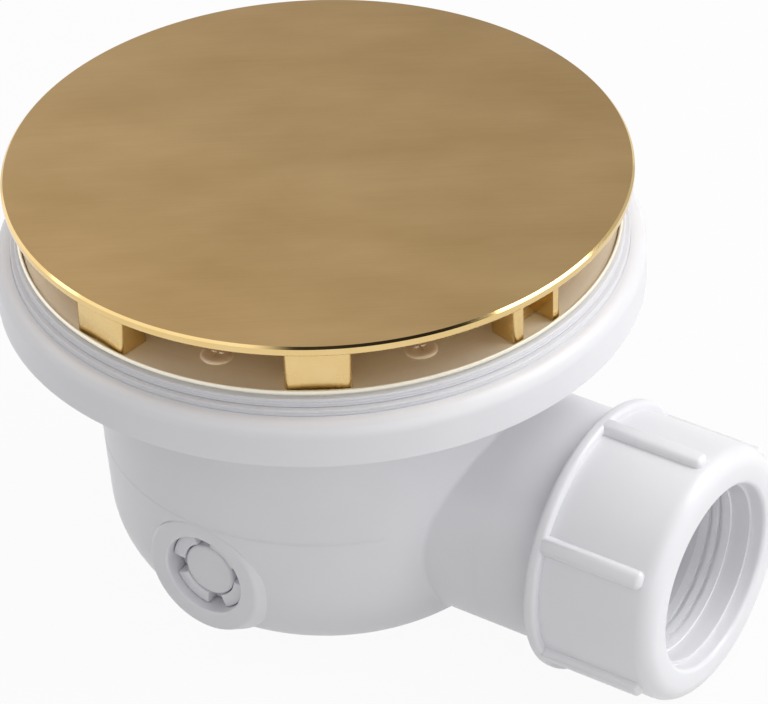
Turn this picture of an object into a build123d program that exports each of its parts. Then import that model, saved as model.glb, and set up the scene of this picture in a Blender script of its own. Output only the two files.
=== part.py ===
from build123d import *
from math import cos, radians, sin, tan
import os

# Shower trap for a tray with a round hole: white trap body, steel dish, plated cover, side outlet.
# Millimetres. Z up, origin at the centre of the flat base, +X along the outlet, the plug towards -Y.

# Bowl of the trap body
bowl_inset = 5.4            # from the screws' circle in to the bowl's outside at the base
bowl_draft = 3.0            # degrees, opening upwards
bowl_corner = 19.2          # outside radius between base and wall
bowl_height = 62.0          # base to the underside of the body flange
wall = 2.6

# Body flange, a channel with a deck and a skirt
flange_land = 3.2           # from the lower gasket out to the edge
body_flange_height = 8.5
body_flange_edge = 2.8      # radius of the top edge
deck_thickness = 3.0
rib_thickness = 2.0
junction_radius = 0.8       # where the outlet leaves the bowl
mould_line_height = 31.6
mould_line_width = 0.6
mould_line_depth = 0.25
mould_line_gap = 84.0       # degrees, left free around the outlet

# Gaskets above and below the tray, shown closed on each other
gasket_thickness = 1.7
gasket_recess = 0.5         # depth of the lower gasket's seat in the body flange
gasket_width = 7.4
gasket_edge = 0.5           # the upper gasket beyond the dish
gasket_step = 0.6           # the lower gasket beyond the upper one

# Pressed dish
dish_sheet = 0.8
lip_height = 0.6
lip_width = 0.8
dish_flat_inset = 5.1       # from the screws' circle in to the end of the flat ring under the legs
dish_fall = 3.4             # from the flat ring to the rim of the well
well_width = 2.8            # around the collar
well_depth = 1.6
collar_step = 7.0           # inside of the collar beyond the dip tube
collar_length = 5.0
dish_bend = 1.2             # inside radius of the bends in the sheet

# Screws and the pattern that they share with the legs
screw_inset = 2.0           # from the bore of the upper gasket in to the screws' circle
screw_radius = 1.5
screw_head_radius = 3.0
screw_head_height = 0.6     # wafer heads, almost flush
screw_length = 11.0
screw_boss_radius = 3.4
hole_clearance = 0.3
thread_clearance = 0.2

# Cover with its legs
cover_radius = 56.5
cover_overhang = 2.0        # beyond the dish
cover_edge = 0.5            # depth of the round edge
cover_thickness = 1.9
cover_crown = 0.6
cover_gap = 9.2             # height of the legs
leg_count = 8
grip_leg_spacing = 4        # every fourth leg opens outwards as a finger grip
leg_turn = -10.9            # degrees from the outlet to the first grip leg
leg_width = 11.5
leg_depth = 6.0
leg_wall = 2.0
leg_inset = 0.5             # from the lip of the dish
leg_corner = 0.8
leg_foot_edge = 0.7

# Water seal inside the bowl
seal_gap = 5.8              # between the dip tube and the cup, at the cup's bottom
tube_wall = 1.6
tube_foot_height = 17.0     # lower end of the dip tube above the base
head_clearance = 0.3        # dip tube in the collar of the dish
head_rim_thickness = 1.6
head_rim_width = 2.5
head_length = 5.6
head_cone = 4.0
o_ring_section = 1.9
grip_thickness = 1.6
grip_height = 3.0
chamber_gap = 12.6          # between the cup and the bowl, at the bottom
cup_draft = 1.5
cup_wall = 1.6
cup_corner = 8.0
cup_rim_height = 57.0       # overflow level above the base
cup_foot_inset = 9.0        # from the outside of the cup
cup_foot_height = 3.0
cup_foot_width = 2.0
cup_ring_height = 2.0
cup_ring_width = 1.8

# Side outlet, compression nut and seals for a plain pipe
pipe_radius = 16.0
pipe_clearance = 0.3
outlet_height = 25.6        # axis above the base
neck_radius = 22.0          # between the bowl and the nut
neck_gap = 0.6              # room behind the nut
outlet_radius = 20.2        # over the thread
outlet_projection = 30.3    # beyond the bowl's outside at the base
pipe_socket = 24.5          # depth to the shoulder that stops the pipe
pipe_shoulder = 1.0
nut_radius = 24.0
nut_projection = 12.7       # beyond the end of the outlet
nut_length = 24.9
nut_lip = 2.9
nut_hole_radius = 17.4
nut_edge = 3.7
nut_hole_edge = 1.4
nut_bead_radius = 25.5
nut_bead_width = 2.4
nut_rib_count = 6
nut_rib_radius = 25.5
nut_rib_width = 3.4
nut_rib_end = 3.2           # from the front of the nut to the end of a rib
nut_rib_edge = 0.8
washer_thickness = 3.7
washer_clearance = 0.4      # beyond the bore of the seal
seal_groove_depth = 0.8
seal_groove_width = 0.9
seal_groove_count = 2

# Plug boss and plug
boss_height = 19.1          # axis above the base
boss_projection = 0.1       # beyond the bowl's outside at the base
boss_radius = 12.0
boss_depth = 11.2
boss_seat_radius = 6.2
boss_seat_thickness = 1.6
plug_radius = 8.05
plug_inset = 1.0
plug_hub_radius = 5.4
plug_notch_depth = 4.5
plug_tab_count = 4
plug_tab_width = 4.6
plug_tab_turn = -34.0       # degrees about the plug's axis
plug_ring_section = 1.6

# Radii that follow from the sizes above, from the cover inwards
cover_edge_radius = cover_radius - cover_edge
dish_radius = cover_radius - cover_overhang
upper_gasket_radius = dish_radius + gasket_edge
lower_gasket_radius = upper_gasket_radius + gasket_step
body_flange_radius = lower_gasket_radius + flange_land
screw_circle_radius = upper_gasket_radius - gasket_width - screw_inset
dish_flat_radius = screw_circle_radius - dish_flat_inset
bowl_radius = screw_circle_radius - bowl_inset
cup_radius = bowl_radius - wall - chamber_gap
cup_foot_radius = cup_radius - cup_foot_inset
tube_radius = cup_radius - cup_wall - seal_gap
collar_radius = tube_radius + collar_step
well_radius = collar_radius + well_width

# Heights and places that follow from the sizes above
body_top = bowl_height + body_flange_height
lower_gasket_bottom = body_top - gasket_recess
upper_gasket_bottom = lower_gasket_bottom + gasket_thickness
dish_bottom = upper_gasket_bottom + gasket_thickness
dish_seat = dish_bottom + dish_sheet
well_rim = dish_seat - dish_fall
well_floor = well_rim - well_depth
collar_bottom = well_floor - collar_length
cover_bottom = dish_seat + cover_gap
cover_top = cover_bottom + cover_thickness
leg_outer_radius = dish_radius - lip_width - leg_inset
leg_middle_radius = leg_outer_radius - leg_depth / 2
leg_pitch = 360 / leg_count
screw_turn = leg_turn + leg_pitch / 2
screw_tip = dish_seat - screw_length
outlet_axis = Axis((0, 0, outlet_height), (1, 0, 0))
rear_plane = Plane((0, 0, 0), x_dir=(-1, 0, 0), z_dir=(0, 1, 0))
mould_line_plane = Plane.XZ.rotated((0, 0, mould_line_gap / 2))
bore_radius = pipe_radius + pipe_clearance
outlet_end = bowl_radius + outlet_projection
socket_floor = outlet_end - pipe_socket
nut_front = outlet_end + nut_projection
nut_back = nut_front - nut_length
lip_inside = nut_front - nut_lip
lip_face = nut_radius - nut_hole_radius
washer_back = lip_inside - washer_thickness
thread_radius = outlet_radius + thread_clearance
neck_end = nut_back - neck_gap
boss_face = bowl_radius + boss_projection
plug_face = boss_face - plug_inset
plug_seat = boss_face - boss_depth + boss_seat_thickness
plug_back = plug_seat + plug_ring_section
floor_height = wall
cup_bottom = floor_height + cup_foot_height


def bowl_radius_at(height):
    """Outside radius of the bowl's wall at a height above the base."""
    return bowl_radius + height * tan(radians(bowl_draft))


def cup_radius_at(height):
    """Outside radius of the cup's wall at a height above the base."""
    return cup_radius + (height - cup_bottom) * tan(radians(cup_draft))


def round_places(radius, numbers):
    """Places on the leg circle, counted from the first grip leg, with local X pointing outwards."""
    angles = [leg_turn + leg_pitch * number for number in numbers]
    return [Location((radius * cos(radians(a)), radius * sin(radians(a)), 0), (0, 0, a)) for a in angles]


os.makedirs("parts", exist_ok=True)

# Trap body: bowl and flange turned as one, then neck, boss, cavity, ribs and bores
with BuildPart() as trap_body:
    with BuildSketch(rear_plane) as body_section:
        with BuildLine():
            Polyline(
                (0, 0),
                (bowl_radius, 0),
                (bowl_radius_at(body_top - deck_thickness), body_top - deck_thickness),
                (body_flange_radius - wall, body_top - deck_thickness),
                (body_flange_radius - wall, bowl_height),
                (body_flange_radius, bowl_height),
                (body_flange_radius, body_top),
                (lower_gasket_radius + hole_clearance, body_top),
                (lower_gasket_radius + hole_clearance, lower_gasket_bottom),
                (lower_gasket_radius - gasket_width - hole_clearance, lower_gasket_bottom),
                (lower_gasket_radius - gasket_width - hole_clearance, body_top),
                (0, body_top),
                close=True,
            )
        make_face()
        fillet(body_section.vertices().sort_by_distance((bowl_radius, 0))[0], bowl_corner)
        fillet(body_section.vertices().sort_by_distance((body_flange_radius, body_top))[0], body_flange_edge)
    revolve(axis=Axis.Z)
    with BuildSketch(Plane.YZ):
        with Locations((0, outlet_height)):
            Circle(neck_radius)
    extrude(amount=socket_floor)
    fillet(trap_body.edges(Select.NEW).filter_by(GeomType.CIRCLE, reverse=True), junction_radius)
    with BuildSketch(Plane.XZ.offset(boss_face)):
        with Locations((0, boss_height)):
            Circle(boss_radius)
    extrude(amount=boss_depth, mode=Mode.SUBTRACT)
    with BuildSketch(rear_plane) as cavity_section:
        with BuildLine():
            Polyline(
                (0, floor_height),
                (bowl_radius_at(floor_height) - wall, floor_height),
                (bowl_radius_at(body_top) - wall, body_top),
                (0, body_top),
                close=True,
            )
        make_face()
        corner = cavity_section.vertices().sort_by_distance((bowl_radius - wall, floor_height))[0]
        fillet(corner, bowl_corner - wall)
    revolve(axis=Axis.Z, mode=Mode.SUBTRACT)
    with BuildSketch(Plane.XY.offset(floor_height - wall / 2)):
        Circle(cup_foot_radius + hole_clearance + cup_ring_width)
        Circle(cup_foot_radius + hole_clearance, mode=Mode.SUBTRACT)
    extrude(amount=wall / 2 + cup_ring_height)
    with BuildSketch(Plane.XZ.offset(boss_face)):
        with Locations((0, boss_height)):
            Circle(boss_radius)
    extrude(amount=-boss_depth)
    with BuildSketch(Plane.XY.offset(body_top - deck_thickness)):
        with Locations(*round_places(0, range(leg_count))):
            with Locations((body_flange_radius / 2 + bowl_radius / 2, 0)):
                Rectangle(body_flange_radius - bowl_radius - wall, rib_thickness)
        with PolarLocations(screw_circle_radius, leg_count, start_angle=screw_turn):
            Circle(screw_boss_radius)
    extrude(amount=bowl_height - body_top + deck_thickness)
    with BuildSketch(Plane.XY.offset(body_top)):
        with PolarLocations(screw_circle_radius, leg_count, start_angle=screw_turn):
            Circle(screw_radius + thread_clearance)
    extrude(amount=screw_tip - hole_clearance - body_top, mode=Mode.SUBTRACT)
    with BuildSketch(Plane.YZ):
        with Locations((0, outlet_height)):
            Circle(bore_radius - pipe_shoulder)
    extrude(amount=socket_floor, mode=Mode.SUBTRACT)
    with BuildSketch(Plane.XZ.offset(boss_face)):
        with Locations((0, boss_height)):
            Circle(plug_radius)
    extrude(amount=boss_seat_thickness - boss_depth, mode=Mode.SUBTRACT)
    with BuildSketch(Plane.XZ.offset(boss_face)):
        with Locations((0, boss_height)):
            Circle(boss_seat_radius)
    extrude(amount=-boss_depth, mode=Mode.SUBTRACT)
    with BuildSketch(mould_line_plane):
        with Locations((bowl_radius_at(mould_line_height), mould_line_height)):
            Rectangle(2 * mould_line_depth, mould_line_width)
    revolve(axis=Axis.Z, revolution_arc=360 - mould_line_gap, mode=Mode.SUBTRACT)
trap_body.part.label = "trap_body"
export_step(trap_body.part, "parts/trap_body.step")

# Socket of the outlet, flush with the neck, from the shoulder to the end that carries the nut
with BuildPart() as outlet_socket:
    with BuildSketch(Plane.YZ.offset(socket_floor)):
        with Locations((0, outlet_height)):
            Circle(neck_radius)
    extrude(amount=neck_end - socket_floor)
    with BuildSketch(Plane.YZ.offset(socket_floor)):
        with Locations((0, outlet_height)):
            Circle(outlet_radius)
    extrude(amount=pipe_socket)
    with BuildSketch(Plane.YZ.offset(socket_floor)):
        with Locations((0, outlet_height)):
            Circle(bore_radius)
    extrude(amount=pipe_socket, mode=Mode.SUBTRACT)
outlet_socket.part.label = "outlet_socket"
export_step(outlet_socket.part, "parts/outlet_socket.step")

# Lower and upper gasket
with BuildPart() as lower_gasket:
    with BuildSketch(Plane.XY.offset(lower_gasket_bottom)):
        Circle(lower_gasket_radius)
        Circle(lower_gasket_radius - gasket_width, mode=Mode.SUBTRACT)
    extrude(amount=gasket_thickness)
lower_gasket.part.label = "lower_gasket"
export_step(lower_gasket.part, "parts/lower_gasket.step")

with BuildPart() as upper_gasket:
    with BuildSketch(Plane.XY.offset(upper_gasket_bottom)):
        Circle(upper_gasket_radius)
        Circle(upper_gasket_radius - gasket_width, mode=Mode.SUBTRACT)
    extrude(amount=gasket_thickness)
upper_gasket.part.label = "upper_gasket"
export_step(upper_gasket.part, "parts/upper_gasket.step")

# Dish: one sheet from the lip to the collar, with holes for the screws
with BuildPart() as waste_flange:
    with BuildSketch(Plane.XZ):
        with BuildLine():
            FilletPolyline(
                (collar_radius, collar_bottom),
                (collar_radius, well_floor),
                (well_radius, well_floor),
                (well_radius, well_rim),
                (dish_flat_radius, dish_seat),
                (dish_radius, dish_seat),
                radius=[dish_sheet / 2, dish_sheet / 2, dish_sheet / 2, dish_bend],
            )
            offset(amount=dish_sheet, side=Side.RIGHT)
        make_face()
    revolve(axis=Axis.Z)
    with BuildSketch(Plane.XZ):
        with Locations((dish_radius - lip_width / 2, dish_seat)):
            Rectangle(lip_width, lip_height - lip_width / 2, align=(Align.CENTER, Align.MIN))
        with Locations((dish_radius - lip_width / 2, dish_seat + lip_height - lip_width / 2)):
            Circle(lip_width / 2)
    revolve(axis=Axis.Z)
    with BuildSketch(Plane.XY.offset(dish_seat)):
        with PolarLocations(screw_circle_radius, leg_count, start_angle=screw_turn):
            Circle(screw_radius + hole_clearance)
    extrude(amount=-dish_sheet, mode=Mode.SUBTRACT)
waste_flange.part.label = "waste_flange"
export_step(waste_flange.part, "parts/waste_flange.step")

# Screws of the dish
with BuildPart() as flange_screws:
    with BuildSketch(Plane.XY.offset(dish_seat)):
        with PolarLocations(screw_circle_radius, leg_count, start_angle=screw_turn):
            Circle(screw_head_radius)
    extrude(amount=screw_head_height)
    fillet(flange_screws.edges().group_by(Axis.Z)[-1], screw_head_height / 2)
    with BuildSketch(Plane.XY.offset(dish_seat)):
        with PolarLocations(screw_circle_radius, leg_count, start_angle=screw_turn):
            Circle(screw_radius)
    extrude(amount=-screw_length)
flange_screws.part.label = "flange_screws"
export_step(flange_screws.part, "parts/flange_screws.step")

# Cover: crowned disc with a round edge, legs of U section standing on the dish
with BuildPart() as cover:
    with BuildSketch(Plane.XZ):
        with BuildLine():
            Line((0, cover_top + cover_crown), (0, cover_bottom))
            Line((0, cover_bottom), (cover_edge_radius, cover_bottom))
            ThreePointArc(
                (cover_edge_radius, cover_bottom),
                (cover_radius, cover_bottom + cover_thickness / 2),
                (cover_edge_radius, cover_top),
            )
            TangentArc((0, cover_top + cover_crown), (cover_edge_radius, cover_top), tangent=(1, 0))
        make_face()
    revolve(axis=Axis.Z)
    closed_legs = [number for number in range(leg_count) if number % grip_leg_spacing]
    grip_legs = [number for number in range(leg_count) if number % grip_leg_spacing == 0]
    with BuildSketch(Plane.XY.offset(dish_seat)) as leg_section:
        with Locations(*round_places(leg_middle_radius, range(leg_count))):
            RectangleRounded(leg_depth, leg_width, leg_corner)
        with Locations(*round_places(leg_middle_radius - leg_wall, closed_legs)):
            Rectangle(leg_depth, leg_width - 2 * leg_wall, mode=Mode.SUBTRACT)
        with Locations(*round_places(leg_middle_radius + leg_wall, grip_legs)):
            Rectangle(leg_depth, leg_width - 2 * leg_wall, mode=Mode.SUBTRACT)
    extrude(amount=cover_gap)
    fillet(cover.edges().group_by(Axis.Z)[0].group_by(SortBy.LENGTH)[-1], leg_foot_edge)
cover.part.label = "cover"
export_step(cover.part, "parts/cover.step")

# Dip tube: rim on the well of the dish, grooved head in the collar, cone, tube and a cross to lift it by
head_radius = collar_radius - head_clearance
groove_radius = collar_radius - o_ring_section
head_inside = groove_radius - tube_wall
head_top = well_floor + head_rim_thickness
head_bottom = well_floor - head_length
groove_middle = well_floor - collar_length / 2
with BuildPart() as dip_tube:
    with BuildSketch(Plane.XZ):
        with BuildLine():
            Polyline(
                (head_inside, head_top),
                (head_radius + head_rim_width - head_clearance, head_top),
                (head_radius + head_rim_width - head_clearance, well_floor),
                (head_radius, well_floor),
                (head_radius, groove_middle + o_ring_section / 2 + hole_clearance),
                (groove_radius, groove_middle + o_ring_section / 2 + hole_clearance),
                (groove_radius, groove_middle - o_ring_section / 2 - hole_clearance),
                (head_radius, groove_middle - o_ring_section / 2 - hole_clearance),
                (head_radius, head_bottom),
                (tube_radius, head_bottom - head_cone),
                (tube_radius, tube_foot_height),
                (tube_radius - tube_wall, tube_foot_height),
                (tube_radius - tube_wall, head_bottom - head_cone),
                (head_inside, head_bottom),
                close=True,
            )
        make_face()
    revolve(axis=Axis.Z)
    with BuildSketch(Plane.XY.offset(head_top)):
        with PolarLocations(0, 2, angular_range=180):
            Rectangle(2 * head_inside + tube_wall, grip_thickness)
    extrude(amount=-grip_height)
dip_tube.part.label = "dip_tube"
export_step(dip_tube.part, "parts/dip_tube.step")

with BuildPart() as dip_tube_o_ring:
    with BuildSketch(Plane.XZ):
        with Locations((collar_radius - o_ring_section / 2, groove_middle)):
            Circle(o_ring_section / 2)
    revolve(axis=Axis.Z)
dip_tube_o_ring.part.label = "dip_tube_o_ring"
export_step(dip_tube_o_ring.part, "parts/dip_tube_o_ring.step")

# Cup of the water seal, standing on the floor of the bowl
with BuildPart() as seal_cup:
    with BuildSketch(Plane.XZ) as cup_section:
        with BuildLine():
            Polyline(
                (0, cup_bottom),
                (cup_radius, cup_bottom),
                (cup_radius_at(cup_rim_height), cup_rim_height),
                (cup_radius_at(cup_rim_height) - cup_wall, cup_rim_height),
                (cup_radius_at(cup_bottom + cup_wall) - cup_wall, cup_bottom + cup_wall),
                (0, cup_bottom + cup_wall),
                close=True,
            )
        make_face()
        fillet(cup_section.vertices().sort_by_distance((cup_radius, cup_bottom))[0], cup_corner)
        inner = cup_section.vertices().sort_by_distance((cup_radius - cup_wall, cup_bottom + cup_wall))[0]
        fillet(inner, cup_corner - cup_wall)
    revolve(axis=Axis.Z)
    with BuildSketch(Plane.XY.offset(floor_height)):
        Circle(cup_foot_radius)
        Circle(cup_foot_radius - cup_foot_width, mode=Mode.SUBTRACT)
    extrude(amount=cup_foot_height + cup_wall / 2)
seal_cup.part.label = "seal_cup"
export_step(seal_cup.part, "parts/seal_cup.step")

# Compression nut: turned shell with a bead, grip ribs and a rounded lip
with BuildPart() as outlet_nut:
    with BuildSketch(Plane.XZ) as nut_section:
        with BuildLine():
            Polyline(
                (nut_back, outlet_height + thread_radius),
                (nut_back, outlet_height + nut_bead_radius),
                (nut_back + nut_bead_width, outlet_height + nut_bead_radius),
                (nut_back + nut_bead_width, outlet_height + nut_radius),
                (nut_front, outlet_height + nut_radius),
                (nut_front, outlet_height + nut_hole_radius),
                (lip_inside, outlet_height + nut_hole_radius),
                (lip_inside, outlet_height + thread_radius),
                close=True,
            )
        make_face()
        outer_edge = nut_section.vertices().sort_by_distance((nut_front, outlet_height + nut_radius))[0]
        fillet(outer_edge, min(nut_edge, 0.7 * lip_face))
        hole_edge = nut_section.vertices().sort_by_distance((nut_front, outlet_height + nut_hole_radius))[0]
        fillet(hole_edge, min(nut_hole_edge, 0.28 * lip_face, nut_lip / 2))
    revolve(axis=outlet_axis)
    rib_root = (nut_radius + thread_radius) / 2
    with BuildSketch(Plane.YZ.offset(nut_back)):
        with Locations((0, outlet_height)):
            with PolarLocations((rib_root + nut_rib_radius) / 2, nut_rib_count, start_angle=90):
                RectangleRounded(nut_rib_radius - rib_root, nut_rib_width, nut_rib_edge)
    extrude(amount=nut_length - nut_rib_end)
outlet_nut.part.label = "outlet_nut"
export_step(outlet_nut.part, "parts/outlet_nut.step")

# Hard washer behind the lip, then the soft seal against the end of the outlet
with BuildPart() as slip_washer:
    with BuildSketch(Plane.YZ.offset(washer_back)):
        with Locations((0, outlet_height)):
            Circle(outlet_radius)
            Circle(bore_radius + washer_clearance, mode=Mode.SUBTRACT)
    extrude(amount=washer_thickness)
slip_washer.part.label = "slip_washer"
export_step(slip_washer.part, "parts/slip_washer.step")

seal_length = washer_back - outlet_end
seal_pitch = seal_length / (seal_groove_count + 1)
with BuildPart() as pipe_seal:
    with BuildSketch(Plane.YZ.offset(outlet_end)):
        with Locations((0, outlet_height)):
            Circle(outlet_radius)
            Circle(bore_radius, mode=Mode.SUBTRACT)
    extrude(amount=seal_length)
    for number in range(seal_groove_count):
        with BuildSketch(Plane.YZ.offset(outlet_end + seal_pitch * (number + 1) - seal_groove_width / 2)):
            with Locations((0, outlet_height)):
                Circle(bore_radius + seal_groove_depth)
        extrude(amount=seal_groove_width, mode=Mode.SUBTRACT)
pipe_seal.part.label = "pipe_seal"
export_step(pipe_seal.part, "parts/pipe_seal.step")

# Cleaning plug with notches between its tabs, and its ring
with BuildPart() as side_plug:
    with BuildSketch(Plane.XZ.offset(plug_back)):
        with Locations((0, boss_height)):
            Circle(plug_radius - thread_clearance)
    extrude(amount=plug_face - plug_back - plug_notch_depth)
    with BuildSketch(Plane.XZ.offset(plug_back)):
        with Locations((0, boss_height)):
            Circle(plug_hub_radius)
            with PolarLocations(0, plug_tab_count // 2, start_angle=plug_tab_turn, angular_range=180):
                Rectangle(2 * plug_radius, plug_tab_width)
            Circle(plug_radius - thread_clearance, mode=Mode.INTERSECT)
    extrude(amount=plug_face - plug_back)
side_plug.part.label = "side_plug"
export_step(side_plug.part, "parts/side_plug.step")

with BuildPart() as plug_o_ring:
    with BuildSketch(Plane.XZ.offset(plug_seat)):
        with Locations((0, boss_height)):
            Circle(plug_radius - thread_clearance)
            Circle(boss_seat_radius, mode=Mode.SUBTRACT)
    extrude(amount=plug_ring_section)
plug_o_ring.part.label = "plug_o_ring"
export_step(plug_o_ring.part, "parts/plug_o_ring.step")
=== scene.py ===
"""Shower trap: a brushed cover on legs over a steel dish, on a white trap body with a side outlet."""

import logging
import math
from dataclasses import dataclass
from enum import Enum
from typing import Iterable, Union

import bmesh
import bpy
from mathutils import Matrix, Vector


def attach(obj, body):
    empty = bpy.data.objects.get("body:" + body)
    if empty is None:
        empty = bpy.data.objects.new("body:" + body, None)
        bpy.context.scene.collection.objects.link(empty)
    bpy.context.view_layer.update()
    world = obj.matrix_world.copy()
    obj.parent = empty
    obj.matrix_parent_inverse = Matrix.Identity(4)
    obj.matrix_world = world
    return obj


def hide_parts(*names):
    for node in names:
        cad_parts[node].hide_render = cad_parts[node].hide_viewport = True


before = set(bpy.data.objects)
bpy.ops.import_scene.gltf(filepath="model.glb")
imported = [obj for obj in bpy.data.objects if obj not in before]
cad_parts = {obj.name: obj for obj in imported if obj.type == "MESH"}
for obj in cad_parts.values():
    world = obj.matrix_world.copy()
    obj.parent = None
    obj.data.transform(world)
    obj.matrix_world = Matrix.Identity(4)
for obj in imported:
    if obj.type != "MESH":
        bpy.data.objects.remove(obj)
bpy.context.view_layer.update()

MM = 0.001
UP = Vector((0, 0, 1))
ORIGIN = Vector((0, 0, 0))
MERGE_MM = 1e-4     # vertices this close are one
NEAR_MM = 0.01      # edges this close to a ring or a plane lie in it
log = logging.getLogger("shower_trap")

Value = Union[float, tuple, bpy.types.NodeSocket]


def linear(hex_colour: str) -> tuple[float, float, float, float]:
    """Turns an sRGB hex colour into linear values for a shader socket.

    Args:
        hex_colour: a colour such as "#E8E8EA".

    Returns:
        Linear red, green, blue and an alpha of 1.
    """
    parts = [int(hex_colour[i:i + 2], 16) / 255 for i in (1, 3, 5)]
    return (*[c / 12.92 if c <= 0.04045 else ((c + 0.055) / 1.055) ** 2.4 for c in parts], 1.0)


def add_node(tree: bpy.types.NodeTree, kind: str, inputs: dict[Union[str, int], Value] | None = None,
             **settings: object) -> bpy.types.Node:
    """Adds a node, sets it up and links it.

    Args:
        tree: the node tree that takes the node.
        kind: the node's type name.
        inputs: input socket to a value, or to the output socket that feeds it.
        **settings: attributes of the node.

    Returns:
        The new node.
    """
    node = tree.nodes.new(kind)
    for name, value in settings.items():
        setattr(node, name, value)
    for key, value in (inputs or {}).items():
        if isinstance(value, bpy.types.NodeSocket):
            tree.links.new(value, node.inputs[key])
        else:
            node.inputs[key].default_value = value
    return node


def start_material(name: str) -> tuple[bpy.types.Material, bpy.types.NodeTree, bpy.types.Node]:
    """Makes a material with nothing but its shader.

    Args:
        name: the material's name.

    Returns:
        The material, its node tree and its Principled shader.
    """
    material = bpy.data.materials.new(name)
    material.use_nodes = True
    tree = material.node_tree
    return material, tree, tree.nodes["Principled BSDF"]


class Grip(Enum):
    """Which side of a leg of the cover looks outwards, as the sign of its section along the radius."""

    CLOSED = -1
    OPEN = 1


@dataclass(frozen=True)
class BrushedGold:
    """Gold-coloured plating on a linear brushed plate: long fine lines, a soft smeared reflection, and a
    colour darker than the polished plating's that is partly painted shade for the dim room the top reflects.
    """

    # darker than the polished gold: the plating's own tone plus painted shade for the dim room the top
    # reflects
    colour: str = "#B29467"
    line_colour: str = "#A28456"
    roughness: float = 0.30
    line_mm: float = 0.45      # real brush lines are about 0.1 mm apart, drawn coarser to show
    line_length_mm: float = 28.0
    line_share: float = 0.3    # how much the lines tint the plate, next to the clouds
    line_bump: float = 0.05
    line_height_mm: float = 0.05
    cloud_mm: float = 34.0
    cloud_stretch: float = 2.2
    brush_turn: float = 36.0   # degrees from the outlet's direction

    def material(self) -> bpy.types.Material:
        """Builds the material."""
        material, tree, shader = start_material("gold_plating_brushed_painted_shade")
        place = add_node(tree, "ShaderNodeTexCoord")
        turned = add_node(tree, "ShaderNodeMapping", {
            "Vector": place.outputs["Object"], "Rotation": (0, 0, math.radians(-self.brush_turn))})
        stretched = add_node(tree, "ShaderNodeMapping", {
            "Vector": turned.outputs["Vector"],
            "Scale": (1 / (self.line_length_mm * MM), 1 / (self.line_mm * MM), 1)})
        lines = add_node(tree, "ShaderNodeTexNoise", {
            "Vector": stretched.outputs["Vector"], "Scale": 1.0, "Detail": 3.0, "Roughness": 0.65})
        broad = add_node(tree, "ShaderNodeMapping", {
            "Vector": turned.outputs["Vector"],
            "Scale": (1 / (self.cloud_mm * MM), self.cloud_stretch / (self.cloud_mm * MM), 1)})
        clouds = add_node(tree, "ShaderNodeTexNoise", {
            "Vector": broad.outputs["Vector"], "Scale": 1.0, "Detail": 4.0, "Roughness": 0.55})
        blend = add_node(tree, "ShaderNodeMath", {
            0: lines.outputs["Fac"], 1: self.line_share, 2: clouds.outputs["Fac"]},
            operation="MULTIPLY_ADD")
        shade = add_node(tree, "ShaderNodeMapRange", {
            "Value": blend.outputs["Value"], "From Min": 0.40, "From Max": 0.90})
        tint = add_node(tree, "ShaderNodeMix", {
            "Factor": shade.outputs["Result"], 6: linear(self.line_colour), 7: linear(self.colour)},
            data_type="RGBA")
        rough = add_node(tree, "ShaderNodeMapRange", {
            "Value": lines.outputs["Fac"],
            "To Min": self.roughness - 0.05, "To Max": self.roughness + 0.06})
        bump = add_node(tree, "ShaderNodeBump", {
            "Height": lines.outputs["Fac"], "Strength": self.line_bump,
            "Distance": self.line_height_mm * MM})
        tree.links.new(tint.outputs[2], shader.inputs["Base Color"])
        tree.links.new(rough.outputs["Result"], shader.inputs["Roughness"])
        tree.links.new(bump.outputs["Normal"], shader.inputs["Normal"])
        shader.inputs["Metallic"].default_value = 1.0
        return material


@dataclass(frozen=True)
class PolishedGold:
    """The same plating, not brushed: clear reflections on the edge, softer ones on the legs and below."""

    name: str = "gold_plating_polished"
    colour: str = "#EACE96"
    worn_colour: str = "#DFBE7C"
    roughness: float = 0.09
    cloud_mm: float = 7.0

    def material(self) -> bpy.types.Material:
        """Builds the material."""
        material, tree, shader = start_material(self.name)
        place = add_node(tree, "ShaderNodeTexCoord")
        clouds = add_node(tree, "ShaderNodeTexNoise", {
            "Vector": place.outputs["Object"], "Scale": 1 / (self.cloud_mm * MM), "Detail": 3.0})
        tint = add_node(tree, "ShaderNodeMix", {
            "Factor": clouds.outputs["Fac"], 6: linear(self.worn_colour), 7: linear(self.colour)},
            data_type="RGBA")
        rough = add_node(tree, "ShaderNodeMapRange", {
            "Value": clouds.outputs["Fac"],
            "To Min": self.roughness - 0.03, "To Max": self.roughness + 0.05})
        tree.links.new(tint.outputs[2], shader.inputs["Base Color"])
        tree.links.new(rough.outputs["Result"], shader.inputs["Roughness"])
        shader.inputs["Metallic"].default_value = 1.0
        return material


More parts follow.
